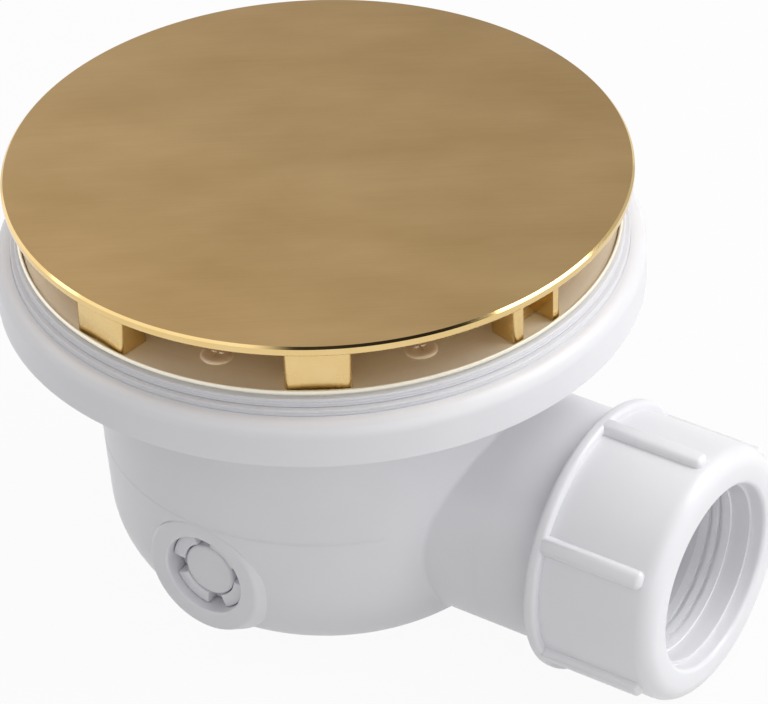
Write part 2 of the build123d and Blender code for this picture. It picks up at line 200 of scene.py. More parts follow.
@dataclass(frozen=True)
class SatinSteel:
    """Stainless sheet, pressed and satin polished: faint rings about the axis and a wide soft sheen; its warm
    cream colour is partly painted reflection of the gold cover above.
    """

    name: str = "stainless_satin_polished"
    # the warm cream tint is partly painted reflection of the gold cover above, over the steel's own pale
    # colour
    colour: str = "#F4F1E6"
    line_colour: str = "#EEEADE"
    roughness: float = 0.72
    ring_mm: float = 0.6       # polishing marks are about 0.2 mm apart, drawn coarser to show

    def material(self) -> bpy.types.Material:
        """Builds the material."""
        material, tree, shader = start_material(self.name)
        place = add_node(tree, "ShaderNodeTexCoord")
        flat = add_node(tree, "ShaderNodeVectorMath", {
            0: place.outputs["Object"], 1: (1, 1, 0)}, operation="MULTIPLY")
        radius = add_node(tree, "ShaderNodeVectorMath", {0: flat.outputs["Vector"]}, operation="LENGTH")
        rings = add_node(tree, "ShaderNodeTexNoise", {
            "W": radius.outputs["Value"], "Scale": 1 / (self.ring_mm * MM), "Detail": 2.0},
            noise_dimensions="1D")
        tint = add_node(tree, "ShaderNodeMix", {
            "Factor": rings.outputs["Fac"], 6: linear(self.line_colour), 7: linear(self.colour)},
            data_type="RGBA")
        rough = add_node(tree, "ShaderNodeMapRange", {
            "Value": rings.outputs["Fac"],
            "To Min": self.roughness - 0.04, "To Max": self.roughness + 0.06})
        tree.links.new(tint.outputs[2], shader.inputs["Base Color"])
        tree.links.new(rough.outputs["Result"], shader.inputs["Roughness"])
        shader.inputs["Metallic"].default_value = 1.0
        return material


@dataclass(frozen=True)
class MouldedPlastic:
    """White polypropylene from a polished mould: soft gloss, faint flow clouds, fine surface ripple."""

    name: str = "polypropylene_moulded_white"
    colour: str = "#E6E6E9"
    flow_colour: str = "#E0E0E4"
    roughness: float = 0.34
    ior: float = 1.49
    flow_mm: float = 22.0
    ripple_mm: float = 1.1     # mould texture of about 0.2 mm, drawn coarser to show
    ripple_height_mm: float = 0.012
    ripple_bump: float = 0.25
    glow: float = 0.06         # share of the light that goes into the thin translucent walls
    glow_mm: float = 2.5

    def material(self) -> bpy.types.Material:
        """Builds the material."""
        material, tree, shader = start_material(self.name)
        place = add_node(tree, "ShaderNodeTexCoord")
        flow = add_node(tree, "ShaderNodeTexNoise", {
            "Vector": place.outputs["Object"], "Scale": 1 / (self.flow_mm * MM), "Detail": 3.0})
        ripple = add_node(tree, "ShaderNodeTexNoise", {
            "Vector": place.outputs["Object"], "Scale": 1 / (self.ripple_mm * MM), "Detail": 2.0})
        tint = add_node(tree, "ShaderNodeMix", {
            "Factor": flow.outputs["Fac"], 6: linear(self.flow_colour), 7: linear(self.colour)},
            data_type="RGBA")
        rough = add_node(tree, "ShaderNodeMapRange", {
            "Value": flow.outputs["Fac"],
            "To Min": self.roughness - 0.05, "To Max": self.roughness + 0.05})
        bump = add_node(tree, "ShaderNodeBump", {
            "Height": ripple.outputs["Fac"], "Strength": self.ripple_bump,
            "Distance": self.ripple_height_mm * MM})
        tree.links.new(tint.outputs[2], shader.inputs["Base Color"])
        tree.links.new(rough.outputs["Result"], shader.inputs["Roughness"])
        tree.links.new(bump.outputs["Normal"], shader.inputs["Normal"])
        shader.inputs["IOR"].default_value = self.ior
        shader.inputs["Subsurface Weight"].default_value = self.glow
        shader.inputs["Subsurface Radius"].default_value = (1, 1, 1)
        shader.inputs["Subsurface Scale"].default_value = self.glow_mm * MM
        return material


@dataclass(frozen=True)
class Rubber:
    """Moulded rubber: matt, with a fine grain and a dusty bloom."""

    name: str = "epdm_moulded_black"
    colour: str = "#1E1E20"
    bloom_colour: str = "#2B2B2E"
    roughness: float = 0.6
    ior: float = 1.52
    grain_mm: float = 0.8      # grain of about 0.1 mm, drawn coarser to show
    grain_height_mm: float = 0.02
    grain_bump: float = 0.3

    def material(self) -> bpy.types.Material:
        """Builds the material."""
        material, tree, shader = start_material(self.name)
        place = add_node(tree, "ShaderNodeTexCoord")
        grain = add_node(tree, "ShaderNodeTexNoise", {
            "Vector": place.outputs["Object"], "Scale": 1 / (self.grain_mm * MM), "Detail": 3.0})
        tint = add_node(tree, "ShaderNodeMix", {
            "Factor": grain.outputs["Fac"], 6: linear(self.colour), 7: linear(self.bloom_colour)},
            data_type="RGBA")
        rough = add_node(tree, "ShaderNodeMapRange", {
            "Value": grain.outputs["Fac"],
            "To Min": self.roughness - 0.08, "To Max": self.roughness + 0.08})
        bump = add_node(tree, "ShaderNodeBump", {
            "Height": grain.outputs["Fac"], "Strength": self.grain_bump,
            "Distance": self.grain_height_mm * MM})
        tree.links.new(tint.outputs[2], shader.inputs["Base Color"])
        tree.links.new(rough.outputs["Result"], shader.inputs["Roughness"])
        tree.links.new(bump.outputs["Normal"], shader.inputs["Normal"])
        shader.inputs["IOR"].default_value = self.ior
        return material


def spin_section(bm: bmesh.types.BMesh, section: Iterable[tuple[float, float]], steps: int) -> None:
    """Turns a section about the Z axis and closes the seam and the poles.

    Args:
        bm: the mesh that takes the turned form, in millimetres, with nothing or the section's start in it.
        section: radius and height pairs, the first one repeated at the end for a closed section.
        steps: faces around the axis.
    """
    verts = [*bm.verts, *[bm.verts.new((r, 0, h)) for r, h in section]]
    for pair in zip(verts, verts[1:]):
        if not bm.edges.get(pair):
            bm.edges.new(pair)
    bmesh.ops.spin(bm, geom=verts + bm.edges[:], cent=ORIGIN, axis=UP, angle=math.tau, steps=steps,
                   use_merge=True, use_normal_flip=False, use_duplicate=False)
    bmesh.ops.remove_doubles(bm, verts=bm.verts, dist=MERGE_MM)
    bmesh.ops.recalc_face_normals(bm, faces=bm.faces)


def turn_about(bm: bmesh.types.BMesh, axis: str, angle: float) -> None:
    """Turns a whole mesh about one of the axes through the origin.

    Args:
        bm: the mesh.
        axis: "X", "Y" or "Z".
        angle: how far, in radians.
    """
    bmesh.ops.rotate(bm, verts=bm.verts, cent=ORIGIN, matrix=Matrix.Rotation(angle, 3, axis))


def round_edges(bm: bmesh.types.BMesh, edges: list[bmesh.types.BMEdge], size: float, segments: int) -> None:
    """Rounds some edges, or chamfers them with one segment.

    Args:
        bm: the mesh, in millimetres.
        edges: the edges.
        size: size of the round.
        segments: faces across the round.
    """
    bmesh.ops.bevel(bm, geom=edges, offset=size, offset_type="OFFSET", segments=segments, profile=0.5,
                    affect="EDGES", clamp_overlap=True, material=-1)


def round_ring(bm: bmesh.types.BMesh, radius: float, height: float, size: float, segments: int) -> None:
    """Rounds one ring of edges about the Z axis.

    Args:
        bm: the mesh, in millimetres.
        radius: radius of the ring.
        height: height of the ring.
        size: size of the round.
        segments: faces across the round.
    """
    edges = [e for e in bm.edges if all(
        abs(v.co.xy.length - radius) < NEAR_MM and abs(v.co.z - height) < NEAR_MM for v in e.verts)]
    round_edges(bm, edges, size, segments)


def add_copy(bm: bmesh.types.BMesh, part: bmesh.types.BMesh, move: Vector) -> None:
    """Adds a moved copy of one mesh to another.

    Args:
        bm: the mesh that takes the copy.
        part: the mesh that is copied and stays as it is.
        move: how far the copy is moved.
    """
    bmesh.ops.translate(part, verts=part.verts, vec=move)
    mesh = bpy.data.meshes.new("copy")
    part.to_mesh(mesh)
    bm.from_mesh(mesh)
    bpy.data.meshes.remove(mesh)
    bmesh.ops.translate(part, verts=part.verts, vec=-move)


def finish_piece(bm: bmesh.types.BMesh, name: str, materials: list[bpy.types.Material],
                 replaced: tuple[str, ...], crease: float = 35.0) -> bpy.types.Object:
    """Turns a mesh in millimetres into a finished piece of the trap.

    Args:
        bm: the mesh, which is freed.
        name: name of the piece.
        materials: its materials, in the order of the faces' indices.
        replaced: the solids that it stands for.
        crease: degrees over which an edge stays sharp.

    Returns:
        The piece's object.
    """
    bmesh.ops.scale(bm, vec=(MM, MM, MM), verts=bm.verts)
    mesh = bpy.data.meshes.new(name)
    bm.to_mesh(mesh)
    bm.free()
    for material in materials:
        mesh.materials.append(material)
    mesh.shade_smooth()
    mesh.set_sharp_from_angle(angle=math.radians(crease))
    piece = bpy.data.objects.new(name, mesh)
    bpy.context.scene.collection.objects.link(piece)
    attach(piece, "root")
    if replaced:
        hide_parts(*replaced)
    log.info("%s: %d faces, for %s", name, len(mesh.polygons), ", ".join(replaced) or "no solid of its own")
    return piece


@dataclass
class Cover:
    """The crowned cover with its rounded edge and its legs, in millimetres."""

    top: float = 85.3
    bottom: float = 83.4
    crown: float = 0.6
    radius: float = 56.5
    chamfer: float = 0.4
    edge: float = 0.5
    edge_flat: float = 0.7     # between the crown and the corner of the edge
    seat: float = 74.2
    leg_count: int = 8
    grip_spacing: int = 4
    leg_turn: float = -10.9
    leg_radius: float = 50.5
    leg_width: float = 11.5
    leg_depth: float = 6.0
    leg_wall: float = 2.0
    leg_corner: float = 0.8
    leg_sunk: float = 0.4      # how far a leg reaches into the plate
    foot_edge: float = 0.3

    def add_plate(self, bm: bmesh.types.BMesh) -> None:
        """Adds the crowned plate, chamfered at its top edge and rounded at its lower one.

        Args:
            bm: the empty mesh that takes the plate.
        """
        arch = (self.radius ** 2 + self.crown ** 2) / (2 * self.crown)
        pole = bm.verts.new((0, 0, self.top + self.crown))
        bmesh.ops.spin(bm, geom=[pole], cent=(0, 0, pole.co.z - arch), axis=(0, 1, 0), steps=10,
                       angle=math.asin((self.radius - self.edge_flat) / arch), use_merge=False,
                       use_normal_flip=False, use_duplicate=False)
        spin_section(bm, [(self.radius, self.top), (self.radius, self.bottom), (0, self.bottom)], 224)
        round_ring(bm, self.radius, self.top, self.chamfer, 1)
        round_ring(bm, self.radius, self.bottom, self.edge, 6)

    def add_leg(self, bm: bmesh.types.BMesh, angle: float, grip: Grip) -> None:
        """Adds one leg of U section.

        Args:
            bm: the mesh that takes the leg.
            angle: place about the axis, in degrees.
            grip: which way its open side looks.
        """
        depth, width, wall = self.leg_depth / 2, self.leg_width / 2, self.leg_wall
        inner = width - wall
        outline = [(depth, -width), (depth, width), (-depth, width), (-depth, inner), (depth - wall, inner),
                   (depth - wall, -inner), (-depth, -inner), (-depth, -width)]
        leg = bmesh.new()
        foot = leg.faces.new([leg.verts.new((x * -grip.value, y, self.seat)) for x, y in outline])
        grown = bmesh.ops.extrude_face_region(leg, geom=[foot])["geom"]
        top = [v for v in grown if isinstance(v, bmesh.types.BMVert)]
        bmesh.ops.translate(leg, verts=top, vec=(0, 0, self.bottom - self.seat + self.leg_sunk))
        bmesh.ops.recalc_face_normals(leg, faces=leg.faces)
        corners = [e for e in leg.edges if all(abs(v.co.y) > inner + NEAR_MM for v in e.verts)
                   and abs(e.verts[0].co.z - e.verts[1].co.z) > self.leg_wall]
        round_edges(leg, corners, self.leg_corner, 3)
        round_edges(leg, [e for e in leg.edges if all(v.co.z < self.seat + NEAR_MM for v in e.verts)],
                    self.foot_edge, 3)
        bmesh.ops.translate(leg, verts=leg.verts, vec=(self.leg_radius, 0, 0))
        turn_about(leg, "Z", math.radians(angle))
        add_copy(bm, leg, ORIGIN)
        leg.free()

    def build(self) -> bpy.types.Object:
        """Builds the cover: brushed on top, polished on the edge, plain below, with satin legs."""
        bm = bmesh.new()
        self.add_plate(bm)
        for number in range(self.leg_count):
            grip = Grip.CLOSED if number % self.grip_spacing else Grip.OPEN
            self.add_leg(bm, self.leg_turn + 360 / self.leg_count * number, grip)
        for face in bm.faces:
            place = face.calc_center_median()
            if place.z > self.top:
                face.material_index = 0
            elif place.xy.length > self.radius - 2 * self.edge:
                face.material_index = 1
            elif face.normal.z < -0.8 and place.z > self.bottom - self.edge:
                face.material_index = 2
            else:
                face.material_index = 3
        finishes = [BrushedGold(), PolishedGold(),
                    # the underside's brighter, more saturated gold is partly painted light: it throws extra
                    # gold light onto the dish below
                    PolishedGold(name="gold_plating_unpolished_painted_light", colour="#F0C878", worn_colour="#E8BE68",
                                 roughness=0.62),
                    PolishedGold(name="gold_plating_satin", roughness=0.26)]
        return finish_piece(bm, "cover_plate", [finish.material() for finish in finishes],
                            ("cover",))


@dataclass
class Screws:
    """The wafer-head screws of the dish, with their cross recesses, in millimetres."""

    seat: float = 74.2
    count: int = 8
    circle_radius: float = 45.6
    turn: float = 11.6
    radius: float = 1.5
    length: float = 11.0
    head_radius: float = 3.0
    head_height: float = 0.45
    tip_radius: float = 0.5
    tip_length: float = 1.2
    recess: float = 1.2
    slot: float = 0.3
    recess_depth: float = 0.25
    recess_taper: float = 0.7

    def build(self) -> bpy.types.Object:
        """Builds all the screws as one piece."""
        bm = bmesh.new()
        wide, high = self.head_radius, self.head_height
        flat = 0.7 * wide
        side = [(flat, high), (0.85 * wide, 0.85 * high), (0.95 * wide, 0.55 * high), (wide, 0.2 * high),
                (wide, 0), (self.radius, 0), (self.radius, self.tip_length - self.length),
                (self.tip_radius, -self.length), (0, -self.length)]
        spin_section(bm, side, 32)
        arm, slot = self.recess, self.slot
        corners = [(arm, -slot), (arm, slot), (slot, slot), (slot, arm), (-slot, arm), (-slot, slot),
                   (-arm, slot), (-arm, -slot), (-slot, -slot), (-slot, -arm), (slot, -arm), (slot, -slot)]
        verts = [bm.verts.new((x, y, high)) for x, y in corners]
        cross = [bm.edges.new((a, b)) for a, b in zip(verts, verts[1:] + verts[:1])]
        rim = [e for e in bm.edges
               if all(abs(v.co.xy.length - flat) < NEAR_MM and v.co.z > 0 for v in e.verts)]
        bmesh.ops.triangle_fill(bm, use_beauty=True, edges=rim + cross, normal=UP)
        inner = [f for f in bm.faces if f.calc_center_median().z > high - NEAR_MM
                 and all(v in verts for v in f.verts) and self.in_cross(f.calc_center_median())]
        bmesh.ops.delete(bm, geom=inner, context="FACES_ONLY")
        floor = bmesh.ops.extrude_edge_only(bm, edges=cross)["geom"]
        low = [v for v in floor if isinstance(v, bmesh.types.BMVert)]
        bmesh.ops.translate(bm, verts=low, vec=(0, 0, -self.recess_depth))
        bmesh.ops.scale(bm, verts=low, vec=(self.recess_taper, self.recess_taper, 1))
        bmesh.ops.edgeloop_fill(bm, edges=[e for e in floor if isinstance(e, bmesh.types.BMEdge)
                                           and all(v in low for v in e.verts)])
        bmesh.ops.recalc_face_normals(bm, faces=bm.faces)
        bmesh.ops.translate(bm, verts=bm.verts, vec=(self.circle_radius, 0, self.seat))
        screws = bmesh.new()
        turn_about(bm, "Z", math.radians(self.turn))
        for _ in range(self.count):
            turn_about(bm, "Z", math.tau / self.count)
            add_copy(screws, bm, ORIGIN)
        bm.free()
        # warm like the dish: the tint is partly painted reflection of the gold cover above
        steel = SatinSteel(name="stainless_cold_headed", colour="#F2EADC", line_colour="#ECE3D4",
                           roughness=0.70)
        return finish_piece(screws, "dish_screws", [steel.material()],
                            ("flange_screws",))

    def in_cross(self, place: Vector) -> bool:
        """Tells whether a point of the head's face lies in the cross recess."""
        x, y = abs(place.x), abs(place.y)
        return min(x, y) < self.slot and max(x, y) < self.recess


@dataclass
class Gasket:
    """A flat ring seal with softly rounded edges, in millimetres."""

    name: str
    node: str
    radius: float
    bottom: float
    width: float = 7.4
    thickness: float = 1.7
    edge: float = 0.3
    groove_count: int = 2
    groove_depth: float = 0.13
    groove_half_width: float = 0.12

    def build(self, rubber: bpy.types.Material) -> bpy.types.Object:
        """Builds the ring.

        Args:
            rubber: the material of the seals.

        Returns:
            The piece's object.
        """
        inner, top = self.radius - self.width, self.bottom + self.thickness
        side = []
        for number in range(self.groove_count):
            middle = self.bottom + self.thickness * (number + 1) / (self.groove_count + 1)
            side += [(self.radius, middle - self.groove_half_width),
                     (self.radius - self.groove_depth, middle),
                     (self.radius, middle + self.groove_half_width)]
        bm = bmesh.new()
        spin_section(bm, [(inner, self.bottom), (self.radius, self.bottom), *side, (self.radius, top),
                          (inner, top), (inner, self.bottom)], 192)
        for height in (self.bottom, top):
            round_ring(bm, self.radius, height, self.edge, 4)
        return finish_piece(bm, self.name, [rubber], (self.node,))


@dataclass
class Dish:
    """The steel dish: lip, flat ring, slope, well and collar, drilled for the screws, in millimetres."""

    radius: float = 54.5
    seat: float = 74.2
    sheet: float = 0.8
    lip_width: float = 0.6
    lip_height: float = 0.6
    lip_overhang: float = 0.8
    lip_round: float = 0.27
    flat_radius: float = 40.5
    slope_shift: float = 0.1   # from the slope's top edge to its underside's
    well_radius: float = 27.4
    well_rim: float = 70.8
    slope_drop: float = 0.62   # from the slope's top side to its underside, at the well
    well_floor: float = 69.2
    collar_radius: float = 24.6
    collar_bottom: float = 64.2
    bend: float = 0.35
    hole_radius: float = 1.8

    def build(self, steel: bpy.types.Material, screws: Screws) -> bpy.types.Object:
        """Builds the dish.

        Args:
            steel: the material of the dish.
            screws: the screws that it is drilled for.

        Returns:
            The piece's object.
        """
        bottom, lip_top = self.seat - self.sheet, self.seat + self.lip_height
        inner, side = self.radius - self.lip_width, self.radius - self.lip_overhang
        sheet = self.sheet
        top_side = [(self.collar_radius, self.collar_bottom), (self.collar_radius, self.well_floor),
                    (self.well_radius, self.well_floor), (self.well_radius, self.well_rim),
                    (self.flat_radius, self.seat)]
        lip = [(inner, self.seat), (inner, lip_top), (self.radius, lip_top), (self.radius, self.seat),
               (side, self.seat), (side, bottom)]
        underside = [(self.flat_radius + self.slope_shift, bottom),
                     (self.well_radius + sheet, self.well_rim - self.slope_drop),
                     (self.well_radius + sheet, self.well_floor - sheet),
                     (self.collar_radius + sheet, self.well_floor - sheet),
                     (self.collar_radius + sheet, self.collar_bottom)]
        bm = bmesh.new()
        spin_section(bm, [*top_side, *lip, *underside, top_side[0]], 224)
        for ring in top_side[1:]:
            round_ring(bm, *ring, self.bend, 4)
        for radius in (inner, self.radius):
            round_ring(bm, radius, lip_top, self.lip_round, 5)
        return finish_piece(self.drilled(bm, screws), "steel_dish", [steel],
                            ("waste_flange",))

    def drilled(self, bm: bmesh.types.BMesh, screws: Screws) -> bmesh.types.BMesh:
        """Drills the holes for the screws.

        Args:
            bm: the dish, which is freed.
            screws: the screws that go through it.

        Returns:
            The drilled dish.
        """
        drill = bmesh.new()
        for number in range(screws.count):
            turn = Matrix.Rotation(math.radians(screws.turn) + math.tau * number / screws.count, 4, "Z")
            bmesh.ops.create_cone(drill, cap_ends=True, segments=24, radius1=self.hole_radius,
                                  radius2=self.hole_radius, depth=4 * self.sheet,
                                  matrix=turn @ Matrix.Translation((screws.circle_radius, 0, self.seat)))
        blanks = []
        for part in (bm, drill):
            mesh = bpy.data.meshes.new("blank")
            part.to_mesh(mesh)
            part.free()
            blanks.append(bpy.data.objects.new("blank", mesh))
            bpy.context.scene.collection.objects.link(blanks[-1])
        blanks[0].modifiers.new("holes", "BOOLEAN").object = blanks[1]
        done = bmesh.new()
        done.from_object(blanks[0], bpy.context.evaluated_depsgraph_get())
        for blank in blanks:
            bpy.data.meshes.remove(blank.data)
        return done


@dataclass
class MouldLine:
    """The faint line that the two halves of the mould leave around the bowl, in millimetres."""

    radius: float = 41.86
    height: float = 31.6
    width: float = 0.6
    groove_depth: float = 0.25
    left_open: float = 0.06
    gap: float = 84.0          # degrees, around the outlet

    def build(self, plastic: bpy.types.Material) -> bpy.types.Object:
        """Builds the strip that fills the groove of the solid up to the depth of the real line.

        Args:
            plastic: the material of the moulded parts.

        Returns:
            The piece's object.
        """
        bm = bmesh.new()
        strip = bmesh.ops.create_grid(bm, x_segments=1, y_segments=1, size=0.5)["verts"]
        turn_about(bm, "X", math.pi / 2)
        depth = self.groove_depth - self.left_open
        floor = self.radius - self.groove_depth
        bmesh.ops.scale(bm, verts=strip, vec=(depth, 1, self.width))
        bmesh.ops.translate(bm, verts=strip, vec=(floor + depth / 2, 0, self.height))
        turn_about(bm, "Z", math.radians(self.gap / 2))
        bmesh.ops.spin(bm, geom=bm.verts[:] + bm.edges[:] + bm.faces[:], cent=ORIGIN, axis=UP, steps=184,
                       angle=math.radians(360 - self.gap), use_merge=False, use_normal_flip=False,
                       use_duplicate=False)
        bmesh.ops.recalc_face_normals(bm, faces=bm.faces)
        return finish_piece(bm, "mould_line", [plastic], ())


@dataclass
class OutletNut:
    """The compression nut: rounded mouth, rear bead and grip ribs with rounded ends, in millimetres."""

    axis_height: float = 25.6
    back: float = 58.3
    front: float = 83.2
    radius: float = 24.0
    thread_radius: float = 20.4
    hole_radius: float = 17.4
    lip: float = 2.9
    edge: float = 3.3
    hole_edge: float = 0.9
    bead_radius: float = 25.5
    bead_width: float = 2.4
    bead_edge: float = 0.8
    rib_count: int = 6
    rib_width: float = 3.5
    rib_end: float = 3.0
    rib_edge: float = 1.15
    rib_sunk: float = 1.5      # how deep a rib is buried in the shell

    def add_ribs(self, bm: bmesh.types.BMesh) -> None:
        """Adds the grip ribs, buried in the shell and run into the bead.

        Args:
            bm: the mesh that takes them.
        """
        low = self.radius - self.rib_sunk
        start, end = self.back + self.bead_edge, self.front - self.rib_end
        rib = bmesh.new()
        bmesh.ops.create_cube(rib, size=1.0)
        bmesh.ops.scale(rib, verts=rib.verts, vec=(end - start, self.rib_width, self.bead_radius - low))
        bmesh.ops.translate(rib, verts=rib.verts, vec=((start + end) / 2, 0, (low + self.bead_radius) / 2))
        outer = [e for e in rib.edges if all(v.co.z > self.radius for v in e.verts)
                 or all(v.co.x > end - NEAR_MM for v in e.verts)]
        round_edges(rib, outer, self.rib_edge, 4)
        for _ in range(self.rib_count):
            turn_about(rib, "X", math.tau / self.rib_count)
            add_copy(bm, rib, Vector((0, 0, self.axis_height)))
        rib.free()

    def build(self, plastic: bpy.types.Material) -> bpy.types.Object:
        """Builds the nut.

        Args:
            plastic: the material of the nut.

        Returns:
            The piece's object.
        """
        bm = bmesh.new()
        inside, bead_front = self.front - self.lip, self.back + self.bead_width
        section = [(self.thread_radius, self.back), (self.bead_radius, self.back),
                   (self.bead_radius, bead_front), (self.radius, bead_front), (self.radius, self.front),
                   (self.hole_radius, self.front), (self.hole_radius, inside), (self.thread_radius, inside),
                   (self.thread_radius, self.back)]
        spin_section(bm, section, 160)
        round_ring(bm, self.radius, self.front, self.edge, 9)
        round_ring(bm, self.hole_radius, self.front, self.hole_edge, 5)
        for along in (self.back, bead_front):
            round_ring(bm, self.bead_radius, along, self.bead_edge, 4)
        turn_about(bm, "Y", math.pi / 2)
        bmesh.ops.translate(bm, verts=bm.verts, vec=(0, 0, self.axis_height))
        self.add_ribs(bm)
        return finish_piece(bm, "compression_nut", [plastic], ("outlet_nut",))


@dataclass
class CleaningPlug:
    """The cleaning plug: a hub and four tabs between notches, in the rim of its boss, in millimetres."""

    height: float = 19.1       # of its axis
    face: float = 39.3
    back: float = 32.3
    radius: float = 7.85
    hub_radius: float = 5.2
    hub_edge: float = 0.7
    groove: float = 0.2        # between the hub and the tabs
    rim_radius: float = 11.6
    rim_flare: float = 1.8     # how much wider the rim is at its back
    rim_face: float = 41.1
    rim_back: float = 38.0
    rim_edge: float = 0.5
    rim_clearance: float = 0.2
    notch_depth: float = 2.6
    tab_count: int = 4
    tab_turn: float = -34.0
    tab_half_angle: float = 30.0
    edge: float = 0.35
    sharp_angle: float = 0.8   # radians over which an edge of the face is rounded

    def build(self, plastic: bpy.types.Material) -> bpy.types.Object:
        """Builds the plug.

        Args:
            plastic: the material of the moulded parts.

        Returns:
            The piece's object.
        """
        bm = bmesh.new()
        low = self.face - self.notch_depth
        disc = bmesh.ops.create_circle(bm, cap_ends=True, cap_tris=False, segments=72,
                                       radius=self.radius)["verts"]
        hub = bm.faces[:][0]
        ring = self.inset(bm, hub, self.radius - self.hub_radius - self.groove)
        self.inset(bm, hub, self.groove)
        bmesh.ops.translate(bm, verts=bm.verts, vec=(0, 0, low))
        rim = [e for e in bm.edges if all(v in disc for v in e.verts)]
        wall = bmesh.ops.extrude_edge_only(bm, edges=rim)["geom"]
        foot = [v for v in wall if isinstance(v, bmesh.types.BMVert)]
        bmesh.ops.translate(bm, verts=foot, vec=(0, 0, self.back - low))
        bmesh.ops.edgeloop_fill(bm, edges=[e for e in wall if isinstance(e, bmesh.types.BMEdge)
                                           and all(v in foot for v in e.verts)])
        raised = [hub, *[f for f in ring if self.in_tab(f.calc_center_median())]]
        grown = bmesh.ops.extrude_face_region(bm, geom=raised)["geom"]
        bmesh.ops.translate(bm, verts=[v for v in grown if isinstance(v, bmesh.types.BMVert)],
                            vec=(0, 0, self.notch_depth))
        bmesh.ops.delete(bm, geom=raised, context="FACES")
        bmesh.ops.remove_doubles(bm, verts=bm.verts, dist=MERGE_MM)
        bmesh.ops.recalc_face_normals(bm, faces=bm.faces)
        round_ring(bm, self.hub_radius, self.face, self.hub_edge, 5)
        sharp = [e for e in bm.edges if len(e.link_faces) == 2 and e.calc_face_angle() > self.sharp_angle
                 and all(v.co.z > self.face - NEAR_MM for v in e.verts)]
        round_edges(bm, sharp, self.edge, 3)
        turn_about(bm, "X", math.pi / 2)
        bmesh.ops.translate(bm, verts=bm.verts, vec=(0, 0, self.height))
        return finish_piece(bm, "cleaning_plug", [plastic], ("side_plug",))

    def inset(self, bm: bmesh.types.BMesh, face: bmesh.types.BMFace,
              width: float) -> list[bmesh.types.BMFace]:
        """Insets a face.

        Args:
            bm: the mesh.
            face: the face, which stays as the middle.
            width: how far its outline moves in.

        Returns:
            The ring of faces around it.
        """
        return bmesh.ops.inset_region(bm, faces=[face], thickness=width, use_boundary=True,
                                      use_even_offset=True)["faces"]

    def build_rim(self, plastic: bpy.types.Material) -> bpy.types.Object:
        """Builds the rounded rim of the boss around the plug.

        Args:
            plastic: the material of the moulded parts.

        Returns:
            The piece's object.
        """
        bm = bmesh.new()
        inner = self.radius + self.rim_clearance
        section = [(inner, self.rim_back), (self.rim_radius + self.rim_flare, self.rim_back),
                   (self.rim_radius, self.rim_face), (inner, self.rim_face), (inner, self.rim_back)]
        spin_section(bm, section, 96)
        round_ring(bm, self.rim_radius, self.rim_face, self.rim_edge, 6)
        round_ring(bm, inner, self.rim_face, self.rim_edge, 6)
        turn_about(bm, "X", math.pi / 2)
        bmesh.ops.translate(bm, verts=bm.verts, vec=(0, 0, self.height))
        return finish_piece(bm, "boss_rim", [plastic], ())

    def in_tab(self, place: Vector) -> bool:
        """Tells whether a point of the plug's ring lies in one of the tabs."""
        pitch = 360 / self.tab_count
        off = (math.degrees(math.atan2(place.y, place.x)) - self.tab_turn + pitch / 2) % pitch - pitch / 2
        return abs(off) < self.tab_half_angle


